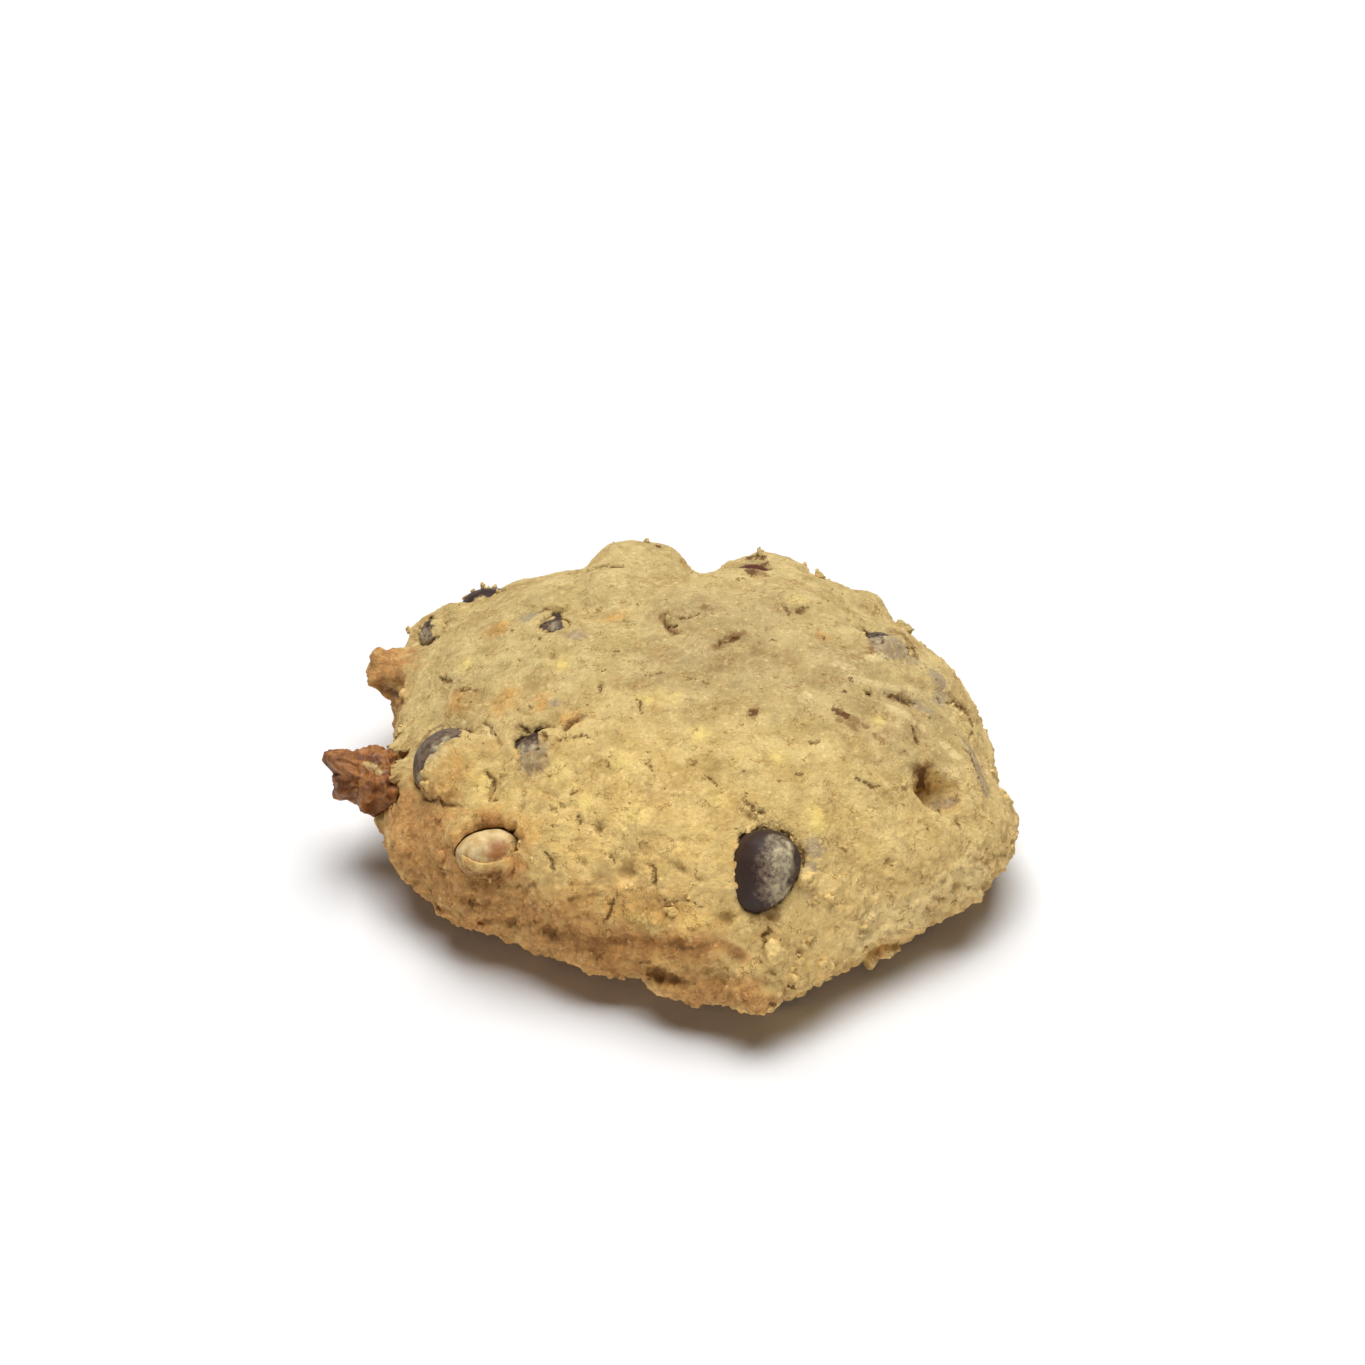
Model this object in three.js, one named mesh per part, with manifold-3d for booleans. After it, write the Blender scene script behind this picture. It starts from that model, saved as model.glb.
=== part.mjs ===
// A thick drop cookie with chocolate chips and nuts, resting on its flat underside.
// Millimetres, +Z up, -Y is the front. The origin is on the floor, under the middle of the cookie's box.
import * as THREE from "three";
import { ImprovedNoise } from "three/addons/math/ImprovedNoise.js";
import { mergeVertices } from "three/addons/utils/BufferGeometryUtils.js";
import Module from "manifold-3d";

// Driving dimensions of the dough
const CROWN = 24; // floor to the top of the dome
const RIM_HEIGHT = 7; // floor to the widest line around the edge
const RIM_MEAN = 32.5; // radius that the outline's bulges fade to towards the crown
// Radius of the widest line, one value every 15 degrees from +X turning towards +Y
const RIM_RADII = [
  32, 31.5, 30.8, 30.5, 30, 29, 28.8, 31, 34.6, 37, 36.5, 34.8,
  33.6, 34.8, 33.8, 31.6, 30, 29.8, 31.8, 33.2, 31.2, 31.8, 34.2, 34.6,
];
const TOP_PROFILE = { across: 2.45, up: 1.8 }; // powers of the domed half's superellipse
const FOOT_PROFILE = { across: 3.5, up: 2 }; // powers of the rounded underside's superellipse
const FOOT_BURIED = 1.2; // how far the rounded underside would pass below the floor before it is cut flat
const DOUGH_DETAIL = 14; // splits of each icosahedron edge

// Uneven surface: bumps of each size and height
const DOUGH_RELIEF = [
  { size: 11, height: 0.9 },
  { size: 5, height: 0.9 },
  { size: 2.6, height: 0.65 },
];
const LUMP_RELIEF = [
  { size: 4, height: 0.9 },
  { size: 2, height: 0.5 },
];

// Clumps of dough that stand out from the dome: middle and half sizes
const LUMPS = [
  { at: [-6.6, 25.6, 12], half: [7, 6, 6] }, // back left
  { at: [6.7, 22.3, 12.5], half: [7, 6.5, 6] }, // back right
  { at: [16, 18.7, 11], half: [6.5, 6, 5.6] }, // right shoulder
  { at: [-27.4, 17.2, 11.4], half: [4.4, 4.4, 4] }, // swell on the left, behind the spur
  { at: [-31.8, 13.2, 10.6], half: [4.6, 3.6, 2.8] }, // browned spur on the left
  { at: [5.6, -30.4, 5.6], half: [3.6, 4, 3] }, // point at the front
  { at: [-1, -28.8, 5], half: [4.6, 3, 2.6] }, // step beside that point
  { at: [21.4, 18.3, 12.8], half: [1.3, 1.2, 1.2] }, // crumb on the right shoulder
  { at: [-31, -18, 5.6], half: [1.5, 1.3, 1.2] }, // crumbs under the edge, front left and front right
  { at: [20, -27, 4.6], half: [1.8, 1.4, 1.1] },
];
const LUMP_DETAIL = 3; // splits of each icosahedron edge of a lump

// Chocolate chips: where each shows on the dough, its width and length, how deep its middle lies below the
// surface, and the direction that it points along the surface, in degrees from +X
const CHIPS = [
  { name: "chip_front", x: 6.8, y: -26, width: 7.2, length: 9.2, depth: 1.4, points: -95 },
  { name: "chip_left", x: -26.6, y: -8.1, width: 8.2, length: 8.8, depth: 1.7, points: -60 },
  { name: "chip_middle", x: -17.5, y: -10.3, width: 6.6, length: 7.6, depth: 2.4, points: 150 },
  { name: "chip_back", x: -15.2, y: 9.7, width: 6.4, length: 6.8, depth: 3, points: 60 },
  { name: "chip_right", x: 20.8, y: 7.4, width: 7.2, length: 7.8, depth: 2.7, points: 20 },
  { name: "chip_rim", x: -24, y: 22.6, width: 6.4, length: 7.4, depth: 2.3, points: 35 },
  { name: "chip_edge", x: -29.2, y: 17, width: 4, length: 4.8, depth: 1.8, points: 80 },
  { name: "chip_lobe", x: 6.4, y: 22.2, width: 5.4, length: 6.2, depth: 2.4, points: 0 },
];
const CHIP_TAPER = 0.3; // how much a drop narrows towards its point
const CHIP_SIDES = 12;
const CHIP_RINGS = 8;

// Dough raised on the surface: place, half sizes, how deep the middle lies and the direction of the length
const RAISED = [
  { x: -25.9, y: -9.1, depth: 1.3, half: [4.5, 4.5, 4.3], points: 0 }, // film over most of the left chip
  { x: 15.6, y: -7.7, depth: 0.1, half: [1.8, 0.7, 0.5], points: -25 }, // flake
  { x: 11.9, y: -21, depth: 0.1, half: [1, 0.8, 0.6], points: 90 }, // grain
];

const NUT = { x: -22, y: -19.6, depth: 1.4, half: [3.4, 3.1, 3], lift: 0.7 };
const WALNUT = { at: [-34.8, -4, 10.8], half: [6, 4.4, 3.6] };
const WALNUT_RELIEF = [
  { size: 3.4, height: 1.5 },
  { size: 1.7, height: 0.7 },
];
const NUT_DETAIL = 4; // splits of each icosahedron edge of a nut

// Open hollows in the top: place, half sizes, and how deep the middle lies
const HOLLOWS = [
  { x: 24.9, y: -12.2, depth: 0, half: [2.8, 2.4, 3.2] }, // pit on the right slope
  { x: -1.4, y: 6.8, depth: -0.9, half: [2.8, 2.4, 2] }, // dents behind the crown
  { x: 3.2, y: 3.6, depth: -0.7, half: [1.9, 1.6, 1.7] },
  { x: 0.3, y: 22.5, depth: -1, half: [2.6, 6, 3] }, // notch between the back lumps
  { x: 20.4, y: 16.6, depth: -0.6, half: [2.2, 3, 2.2] }, // notch behind the right shoulder
];

// Cracks: the points that each passes on the surface
const CRACKS = [
  [[-22, -6.6], [-20.9, -9.6], [-21, -12.6], [-22.8, -14.4]], // right of the left chip
  [[6.6, -31], [5.8, -32.6]], // below the front chip
  [[3.8, -19.8], [6.2, -21.6]], // above the front chip
  [[-12.6, 19.4], [-9, 19.8], [-5.6, 19]], // at the foot of the back left lump
  [[-17.2, -15.4], [-14.4, -16.8], [-11.6, -16.4]], // across the front left
];
const CRACK_WIDTH = 0.9;
const CRACK_DEPTH = 1.2;
const CRACK_DETAIL = 1; // splits of each icosahedron edge of a crack's lens

const SLOPE_SPAN = 2; // how far to each side the slope under an inclusion is taken
const SMALL_DETAIL = 2; // the same for small bumps and hollows
const POCKET_GAP = 0.3; // clearance between an inclusion and its pocket in the dough

const wasm = await Module();
wasm.setup();
const noise = new ImprovedNoise();

// A closed geometry as a solid that can be joined and cut
function solidOf(geometry) {
  const bare = geometry.clone().deleteAttribute("normal").deleteAttribute("uv");
  const merged = mergeVertices(bare, 1e-4);
  const corners = merged.index.array;
  const kept = [];
  for (let i = 0; i < corners.length; i += 3) {
    const [a, b, c] = corners.slice(i, i + 3);
    if (a !== b && b !== c && c !== a) kept.push(a, b, c);
  }
  return new wasm.Manifold(
    new wasm.Mesh({
      numProp: 3,
      vertProperties: merged.attributes.position.array,
      triVerts: new Uint32Array(kept),
    }),
  );
}

// A solid as a geometry that a mesh can show
function geometryOf(solid) {
  const { vertProperties, triVerts } = solid.getMesh();
  const geometry = new THREE.BufferGeometry();
  geometry.setAttribute("position", new THREE.BufferAttribute(vertProperties, 3));
  geometry.setIndex(new THREE.BufferAttribute(triVerts, 1));
  geometry.computeVertexNormals();
  return geometry;
}

// The largest body of a solid, without slivers that a cut has freed
function mainBody(solid) {
  return solid.decompose().reduce((a, b) => (a.volume() > b.volume() ? a : b));
}

// A geometry whose surface is pushed in and out by noise of the given sizes and heights
function roughened(geometry, layers) {
  const bare = geometry.clone().deleteAttribute("normal").deleteAttribute("uv");
  const rough = mergeVertices(bare, 1e-4);
  rough.computeVertexNormals();
  const { position, normal } = rough.attributes;
  const point = new THREE.Vector3();
  const out = new THREE.Vector3();
  for (let i = 0; i < position.count; i++) {
    point.fromBufferAttribute(position, i);
    out.fromBufferAttribute(normal, i);
    const push = layers.reduce(
      (sum, { size, height }) => sum + height * noise.noise(point.x / size, point.y / size, point.z / size),
      0,
    );
    point.addScaledVector(out, push);
    position.setXYZ(i, point.x, point.y, point.z);
  }
  return rough;
}

function ellipsoid(half, detail) {
  return new THREE.IcosahedronGeometry(1, detail).scale(...half);
}

// The widest line around the edge as a closed curve
function rimCurve() {
  const points = RIM_RADII.map((radius, i) => {
    const angle = (i / RIM_RADII.length) * 2 * Math.PI;
    return new THREE.Vector3(radius * Math.cos(angle), radius * Math.sin(angle), 0);
  });
  return new THREE.CatmullRomCurve3(points, true, "catmullrom", 0.5);
}

// The bare dome: a sphere squashed to the rim's outline, with a high dome above and a shallow foot below
function domeGeometry() {
  const rim = rimCurve();
  const geometry = new THREE.IcosahedronGeometry(1, DOUGH_DETAIL);
  const position = geometry.attributes.position;
  const n = new THREE.Vector3();
  for (let i = 0; i < position.count; i++) {
    n.fromBufferAttribute(position, i);
    const angle = Math.atan2(n.y, n.x);
    const { across, up } = n.z > 0 ? TOP_PROFILE : FOOT_PROFILE;
    const reach = Math.hypot(n.x, n.y) ** (2 / across);
    const rise = Math.abs(n.z) ** (2 / up);
    const even = new THREE.Vector3(Math.cos(angle), Math.sin(angle), 0).multiplyScalar(RIM_MEAN);
    const edge = even.lerp(rim.getPoint((angle / (2 * Math.PI) + 1) % 1), reach ** 3).multiplyScalar(reach);
    const above = RIM_HEIGHT + (CROWN - RIM_HEIGHT) * rise;
    const below = RIM_HEIGHT - (RIM_HEIGHT + FOOT_BURIED) * rise;
    position.setXYZ(i, edge.x, edge.y, n.z > 0 ? above : below);
  }
  return geometry;
}

// Height of a solid's upper surface over (x, y)
function heightAt(mesh, x, y) {
  const down = new THREE.Raycaster(new THREE.Vector3(x, y, 2 * CROWN), new THREE.Vector3(0, 0, -1));
  return down.intersectObject(mesh)[0].point.z;
}

// The point of a solid's upper surface over (x, y), and the way that it faces around there
function surfaceAt(mesh, x, y) {
  const riseX = heightAt(mesh, x + SLOPE_SPAN, y) - heightAt(mesh, x - SLOPE_SPAN, y);
  const riseY = heightAt(mesh, x, y + SLOPE_SPAN) - heightAt(mesh, x, y - SLOPE_SPAN);
  const normal = new THREE.Vector3(-riseX, -riseY, 2 * SLOPE_SPAN).normalize();
  return { point: new THREE.Vector3(x, y, heightAt(mesh, x, y)), normal };
}

// The place of a thing set into the dough: its middle lies depth below the surface, with +Z outwards
function seat(mesh, { x, y, depth, points = 0 }) {
  const { point, normal } = surfaceAt(mesh, x, y);
  const angle = THREE.MathUtils.degToRad(points);
  const along = new THREE.Vector3(Math.cos(angle), Math.sin(angle), 0);
  along.addScaledVector(normal, -along.dot(normal)).normalize();
  const side = new THREE.Vector3().crossVectors(normal, along);
  const middle = point.clone().addScaledVector(normal, -depth);
  return new THREE.Matrix4().makeBasis(along, side, normal).setPosition(middle);
}

// A chocolate drop that lies on its side, pointing along +X, grown by extra all round
function dropGeometry({ width, length }, extra) {
  const profile = [];
  for (let i = 0; i <= CHIP_RINGS; i++) {
    const t = (i / CHIP_RINGS) * Math.PI;
    const radius = (width / 2 + extra) * Math.sin(t) * (1 + CHIP_TAPER * Math.cos(t));
    profile.push(new THREE.Vector2(i % CHIP_RINGS ? radius : 0, -(length / 2 + extra) * Math.cos(t)));
  }
  return new THREE.LatheGeometry(profile, CHIP_SIDES).rotateZ(-Math.PI / 2);
}

// One straight stretch of a crack between two points on the surface, as a thin lens to cut out
function crackSegment(mesh, from, to) {
  const [run, turn] = [to[0] - from[0], to[1] - from[1]];
  const half = [Math.hypot(run, turn) * 0.65, CRACK_WIDTH / 2, CRACK_DEPTH];
  const points = THREE.MathUtils.radToDeg(Math.atan2(turn, run));
  const place = { x: from[0] + run / 2, y: from[1] + turn / 2, depth: 0, points };
  return ellipsoid(half, CRACK_DETAIL).applyMatrix4(seat(mesh, place));
}

const doughMaterial = new THREE.MeshStandardMaterial({ color: 0xd6b97a, roughness: 0.85, metalness: 0 });
const chocolateMaterial = new THREE.MeshStandardMaterial({ color: 0x483730, roughness: 0.4, metalness: 0 });
const nutMaterial = new THREE.MeshStandardMaterial({ color: 0xd8b785, roughness: 0.5, metalness: 0 });
const walnutMaterial = new THREE.MeshStandardMaterial({ color: 0x835533, roughness: 0.45, metalness: 0 });

// Dough: the dome with its lumps, first without pockets
let dough = solidOf(roughened(domeGeometry(), DOUGH_RELIEF));
for (const { at, half } of LUMPS) {
  dough = dough.add(solidOf(roughened(ellipsoid(half, LUMP_DETAIL).translate(...at), LUMP_RELIEF)));
}
const bareDough = new THREE.Mesh(geometryOf(dough));
for (const bump of RAISED) {
  dough = dough.add(solidOf(ellipsoid(bump.half, SMALL_DETAIL).applyMatrix4(seat(bareDough, bump))));
}
for (const crack of CRACKS) {
  for (let i = 1; i < crack.length; i++) {
    dough = dough.subtract(solidOf(crackSegment(bareDough, crack[i - 1], crack[i])));
  }
}
for (const hollow of HOLLOWS) {
  dough = dough.subtract(solidOf(ellipsoid(hollow.half, SMALL_DETAIL).applyMatrix4(seat(bareDough, hollow))));
}

const cookie = new THREE.Group();
function addPiece(name, geometry, material) {
  const mesh = new THREE.Mesh(geometry, material);
  mesh.name = name;
  cookie.add(mesh);
}

for (const chip of CHIPS) {
  const place = seat(bareDough, chip);
  addPiece(chip.name, geometryOf(solidOf(dropGeometry(chip, 0).applyMatrix4(place))), chocolateMaterial);
  dough = dough.subtract(solidOf(dropGeometry(chip, POCKET_GAP).applyMatrix4(place)));
}

// Nut at the front left, in a pocket with a wider gap under the lip above it
const nutPlace = seat(bareDough, NUT);
addPiece("nut", geometryOf(solidOf(ellipsoid(NUT.half, NUT_DETAIL).applyMatrix4(nutPlace))), nutMaterial);
const nutPocket = ellipsoid(NUT.half.map((h) => h + POCKET_GAP), NUT_DETAIL).applyMatrix4(nutPlace);
dough = dough.subtract(solidOf(nutPocket)).subtract(solidOf(nutPocket.translate(0, 0, NUT.lift)));

// Walnut piece that sticks out on the left
const walnut = roughened(ellipsoid(WALNUT.half, NUT_DETAIL).translate(...WALNUT.at), WALNUT_RELIEF);
addPiece("walnut", walnut, walnutMaterial);
const walnutPocket = ellipsoid(WALNUT.half.map((h) => h + POCKET_GAP), NUT_DETAIL).translate(...WALNUT.at);
dough = dough.subtract(solidOf(roughened(walnutPocket, WALNUT_RELIEF)));

// The flat underside
const floor = new THREE.BoxGeometry(4 * RIM_MEAN, 4 * RIM_MEAN, CROWN).translate(0, 0, -CROWN / 2);
dough = mainBody(dough.subtract(solidOf(floor)));
addPiece("dough", geometryOf(dough), doughMaterial);

// Origin under the middle of the cookie's box
const box = new THREE.Box3().setFromObject(cookie);
cookie.position.set(-(box.min.x + box.max.x) / 2, -(box.min.y + box.max.y) / 2, -box.min.z);

export default cookie;
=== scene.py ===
"""The looks of a thick drop cookie with chocolate chips and nuts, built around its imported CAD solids."""
import math

import bmesh
import bpy
import numpy as np
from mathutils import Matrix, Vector, noise
from mathutils.bvhtree import BVHTree
from mathutils.kdtree import KDTree


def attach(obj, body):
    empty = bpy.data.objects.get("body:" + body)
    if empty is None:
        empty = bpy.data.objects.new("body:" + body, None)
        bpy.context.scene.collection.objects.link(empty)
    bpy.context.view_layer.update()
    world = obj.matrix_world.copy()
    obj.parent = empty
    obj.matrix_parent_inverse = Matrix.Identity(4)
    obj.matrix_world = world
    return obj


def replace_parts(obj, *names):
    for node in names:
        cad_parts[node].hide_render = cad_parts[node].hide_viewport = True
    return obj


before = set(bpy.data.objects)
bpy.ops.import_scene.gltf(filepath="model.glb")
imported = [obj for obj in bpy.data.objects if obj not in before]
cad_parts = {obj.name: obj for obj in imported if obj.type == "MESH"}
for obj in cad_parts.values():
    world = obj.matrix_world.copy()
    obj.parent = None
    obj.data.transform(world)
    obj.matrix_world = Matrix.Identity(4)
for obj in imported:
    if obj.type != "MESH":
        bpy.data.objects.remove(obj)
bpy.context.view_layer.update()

MM = 0.001  # meshes are worked on in millimetres and stored in metres
SEED = 7  # of the noise and the random draws, so that every run gives the same cookie

# Camera: the photograph's viewing angle, in millimetres
IMAGE_PX = 1365
LENS, SENSOR = 130.0, 36.0
FOCAL_PX = LENS / SENSOR * IMAGE_PX
CAMERA_ELEVATION = math.radians(40)
CAMERA_DISTANCE = 520.0
CAMERA_AIM = np.array([1.714, 1.384, 20.6])
FORWARD = np.array([0.0, math.cos(CAMERA_ELEVATION), -math.sin(CAMERA_ELEVATION)])
UPWARD = np.array([0.0, math.sin(CAMERA_ELEVATION), math.cos(CAMERA_ELEVATION)])
RIGHTWARD = np.array([1.0, 0.0, 0.0])
CAMERA_AT = CAMERA_AIM - CAMERA_DISTANCE * FORWARD

# Light: a softbox high and a little behind, a weaker one low in front, and a weak even fill,
# in metres and watts
KEY_LEAN = math.radians(13)  # from straight above towards the back
KEY_DISTANCE = 3.5
KEY_SIZE = (2.75, 2.75)
KEY_POWER = 184.0
FRONT_LEAN = math.radians(-83)
FRONT_DISTANCE = 0.8
FRONT_SIZE = (1.2, 0.18)
FRONT_POWER = 2.0
FILL = 0.02
FLOOR_SHADE = 0.8
FLOOR_HALF = 8.0

# Mesh resolution
DOUGH_VOXEL = 0.32
PIECE_VOXEL = 0.16
DOUGH_SMOOTHING = 12  # rounds that take the CAD facets away
PIECE_SMOOTHING = 30
WALNUT_SMOOTHING = 6
OUTLINE_STEPS = 48  # directions in which an outline is fitted

# Dough relief: size and height of the swells, of the puffs between creases, of the crumb lumps between
# grooves, and of the open crumb on walls
SWELLS = [(7.0, 0.26), (3.0, 0.06)]
PUFFS = [(2.6, 0.09), (1.3, 0.09), (0.75, 0.08)]
LUMPS = [(2.4, 0.08), (1.2, 0.11)]
WALL_CRUMB = [(3.2, 0.36), (1.7, 0.26), (0.9, 0.32)]
PUFF_MEAN, LUMP_MEAN = 0.4, 0.75  # taken off, so that the dough keeps its size
ROUGH_TOP, ROUGH_WALL = 0.6, 1.2  # share of the puffs and lumps on top, and what walls add
GROOVE_WIDTH = 0.3  # as a share of the lumps
LOWEST = 0.02  # the underside stays this far above the floor
FADE_OUT = 1.6  # radii at which a shape or a patch has faded out
NOISE_SPAN = (0.2, 0.8)  # where most of a shader's noise lies

# Slopes, as the upward part of the surface's direction: where each starts and where it is full
WALL_SLOPE = (0.6, 0.15)
ABOVE_UNDERSIDE = (-0.99, -0.8)
STEEP_SLOPE = (0.95, 0.25)
BROWN_WALL = (0.55, 0.0)
BROWN_UNDERSIDE = (-0.7, -0.95)

# Baking, and painted light that leaves the right and the back paler: places where each starts and where it
# is full, and how much each counts
BROWN_LOW, BROWN_LEFT = (15, 4), (12, -22)
PALE_RIGHT, PALE_BACK = (-6, 18), (-26, 4)
LOW_BROWN, WALL_BROWN, LEFT_BROWN = 0.2, 0.1, 0.6
UNDERSIDE_BROWN, UNDERSIDE_UNEVEN = 0.55, 0.5
RIGHT_PALE = 0.4
BROWN_SIZE = 6.0  # of the uneven areas beneath

# Gap between an inclusion and its pocket, below 0 where dough laps into it, and its variation
POCKET_GAP = -0.08
POCKET_FRAY = 0.14
POCKET_FRAY_SIZE = 1.2
NUT_GAP = 0.16  # above the nut, which has shrunk away from the dough there
NUT_LOOSE_SIDE = (-0.4, 0.6, 0.7)
NUT_TIGHT_SIDE = (0.4, -0.75, -0.5)
CHIP_REACH, WALNUT_REACH, NUT_REACH = 1.0, 1.6, 1.8  # how far off dough is drawn to each

# Dough that has baked over an inclusion: radius, half thickness, lift and photo pixel
FILMS = {
    "chip_middle": [
        (2.3, 0.5, 0.1, (533, 768)), (1.7, 0.5, 0.15, (553, 757)), (1.5, 0.5, 0.1, (512, 757)),
        (1.4, 0.7, 0.5, (548, 741)), (1.0, 0.6, 0.4, (558, 738)),
    ],
    "chip_back": [
        (0.9, 0.5, 0.1, (545, 620)), (1.2, 0.5, 0.1, (568, 618)), (0.8, 0.6, 0.3, (548, 618)),
        (1.0, 0.6, 0.3, (535, 630)), (0.9, 0.6, 0.2, (545, 637)),
    ],
    "chip_right": [(2.2, 0.5, 0.1, (897, 650))],
    "chip_edge": [(1.3, 0.32, 0.0, (440, 618)), (1.2, 0.32, 0.0, (442, 634))],
    "chip_rim": [(1.3, 0.5, 0.1, (463, 612)), (1.3, 0.5, 0.1, (480, 607)), (1.3, 0.5, 0.1, (497, 602))],
    "chip_left": [
        (2.0, 0.5, 0.1, (445, 775)), (1.8, 0.5, 0.1, (458, 756)), (1.2, 0.5, 0.1, (470, 742)),
        (1.2, 0.5, 0.1, (433, 790)),
    ],
    "walnut": [(2.0, 1.2, 0.4, (400, 755)), (1.6, 1.0, 0.3, (402, 772))],
    "nut": [
        (1.3, 0.5, 0.03, (465, 863)), (1.4, 0.5, 0.03, (478, 869)), (1.4, 0.5, 0.03, (492, 870)),
        (1.3, 0.5, 0.03, (506, 865)),
    ],
}

# Bits of dough that stick out of the surface named: half size and photo pixel
BITS = {
    "dough": [
        (1.4, (874, 959)), (1.1, (886, 953)), (1.0, (905, 618)), (0.7, (818, 574)), (0.6, (1008, 800)),
        (0.6, (397, 770)), (0.9, (808, 880)), (1.0, (773, 953)), (0.3, (737, 848)), (0.35, (733, 862)),
        (0.3, (735, 874)), (0.4, (739, 889)), (0.4, (746, 903)), (0.3, (756, 911)),
    ],
    "chip_rim": [
        (0.4, (483, 584)), (0.3, (488, 586)), (0.35, (472, 590)), (0.3, (464, 597)), (0.3, (495, 588)),
    ],
    "chip_edge": [(0.25, (416, 632)), (0.3, (421, 627))],
}

# Crumbs: smallest half size, what the largest adds and how rare large ones are
CRUMB_COUNT = 700
CRUMB_SMALLEST, CRUMB_SPREAD, CRUMB_RARITY = 0.12, 0.5, 4
CRUMB_LUMPS = [(0.8, 1.0), (0.35, 0.4)]  # size and height, as shares of its half size
LUMP_SHARE, LUMP_HEIGHT = 1.2, 0.6  # the most that these stand out, as a share and in millimetres
CRUMB_STRETCH = (0.7, 1.3)
CRUMB_SUNK = 0.25  # depth of its middle, as a share of its half size

# How a crack runs
CRACK_SHARE = 0.85  # of the widths and depths in the table
CRACK_STEP = 0.3
CRACK_SWAY, SWAY_SIZE = 0.34, 0.7
CRACK_TIP = 0.35  # share of the width at its ends
CRACK_UNEVEN, UNEVEN_SIZE = 0.9, 0.8
CRACK_SLOPE, CRACK_SHADE_END = 1.6, 4  # half widths at which its walls and its painted shade end
CRACK_REACH = 2.0  # its painted shade ends this far off at the latest

# Cracks where the photograph doesn't show the dough
HIDDEN_CRACK_TRIES = 180  # those in sight are passed over
HIDDEN_CRACK_LENGTH = (0.5, 1.6)  # as far as its bend
HIDDEN_CRACK_BEND = 0.8
HIDDEN_CRACK_HALF_WIDTH = (0.12, 0.24)
HIDDEN_CRACK_DEPTH = 0.3

# Cracks in the photograph: half width, depth, then the pixels that each passes
CRACKS = [
    (0.26, 0.4, (455, 729), (461, 731), (466, 735), (472, 741)),
    (0.28, 0.5, (485, 769), (489, 774), (493, 781), (494, 788), (491, 795), (488, 797)),
    (0.18, 0.3, (488, 798), (496, 801)),
    (0.26, 0.4, (416, 782), (424, 783), (427, 791)),
    (0.28, 0.4, (424, 797), (430, 801), (437, 799), (442, 803)),
    (0.20, 0.3, (438, 800), (443, 804), (462, 806)),
    (0.35, 0.6, (520, 726), (528, 731), (536, 733), (547, 739)),
    (0.30, 0.6, (562, 731), (570, 724), (583, 716)),
    (0.18, 0.3, (560, 741), (575, 736), (585, 735), (594, 738)),
    (0.22, 0.3, (480, 720), (487, 723), (492, 729), (496, 735)),
    (0.24, 0.3, (634, 694), (639, 700), (642, 713)),
    (0.26, 0.4, (604, 760), (609, 768)),
    (0.28, 0.4, (642, 760), (648, 763), (652, 769)),
    (0.24, 0.4, (690, 766), (696, 760)),
    (0.18, 0.3, (577, 812), (581, 822)),
    (0.22, 0.3, (546, 824), (553, 826)),
    (0.24, 0.4, (545, 851), (550, 860), (554, 868)),
    (0.22, 0.3, (611, 853), (613, 862)),
    (0.28, 0.5, (644, 864), (653, 866), (656, 874), (655, 883)),
    (0.20, 0.4, (616, 890), (611, 905), (604, 926)),
    (0.16, 0.25, (661, 898), (672, 903), (684, 900), (703, 907)),
    (0.32, 0.7, (768, 925), (768, 933), (762, 937), (766, 942), (762, 950)),
    (0.24, 0.4, (740, 796), (752, 808), (755, 812), (763, 814)),
    (0.26, 0.5, (778, 827), (784, 834), (790, 837), (797, 838)),
    (0.20, 0.3, (705, 776), (712, 782), (720, 786)),
    (0.30, 0.6, (798, 842), (801, 855), (802, 868)),
    (0.30, 0.4, (780, 601), (790, 615)),
    (0.28, 0.4, (797, 612), (804, 608)),
    (0.30, 0.4, (718, 646), (722, 641), (735, 639), (743, 633)),
    (0.26, 0.3, (664, 614), (667, 626), (676, 633)),
    (0.22, 0.3, (679, 618), (690, 616), (700, 613)),
    (0.36, 0.6, (579, 575), (590, 569), (607, 565), (620, 566), (640, 571)),
    (0.34, 0.5, (946, 702), (958, 706), (969, 713)),
    (0.30, 0.4, (885, 694), (893, 697), (903, 701), (916, 703)),
    (0.26, 0.4, (912, 725), (915, 734), (919, 744)),
    (0.24, 0.3, (857, 779), (866, 783), (872, 787), (880, 786)),
    (0.24, 0.3, (905, 638), (913, 648), (918, 660)),
    (0.20, 0.3, (968, 712), (972, 725), (970, 736)),
    (0.20, 0.3, (960, 742), (975, 765), (985, 790)),
    (0.22, 0.3, (936, 695), (941, 702)),
    (0.30, 0.4, (440, 677), (451, 681)),
    (0.24, 0.3, (459, 690), (478, 690)),
    (0.30, 0.4, (601, 682), (599, 692)),
    (0.20, 0.3, (576, 790), (572, 794)),
    (0.16, 0.2, (634, 673), (650, 675), (666, 672)),
    (0.20, 0.3, (529, 617), (545, 609), (566, 607)),
    (0.22, 0.3, (768, 641), (776, 639)),
    (0.22, 0.3, (957, 820), (961, 828)),
]

# How a pit is shaped
PIT_EDGE, PIT_REACH = 1.5, 3  # radii at which a round one ends, and a stretched one at the latest
PIT_RAGGED, RAGGED_SIZE = 0.5, 0.7
PIT_DEPTH = 0.7  # radii, for a scattered one
PIT_FULL_SHADE_DEPTH = 0.5  # depth from which it is fully darkened by painted shade

# Scattered pits: the slopes between which they lie, count, radius range and stretch
SCATTERED_PITS = [
    (-math.inf, math.inf, 500, (0.14, 0.32), 0.8),
    (-0.8, 0.35, 240, (0.2, 0.55), 0.7),
    (-math.inf, -0.8, 110, (0.25, 0.8), 0.6),
]

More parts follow.
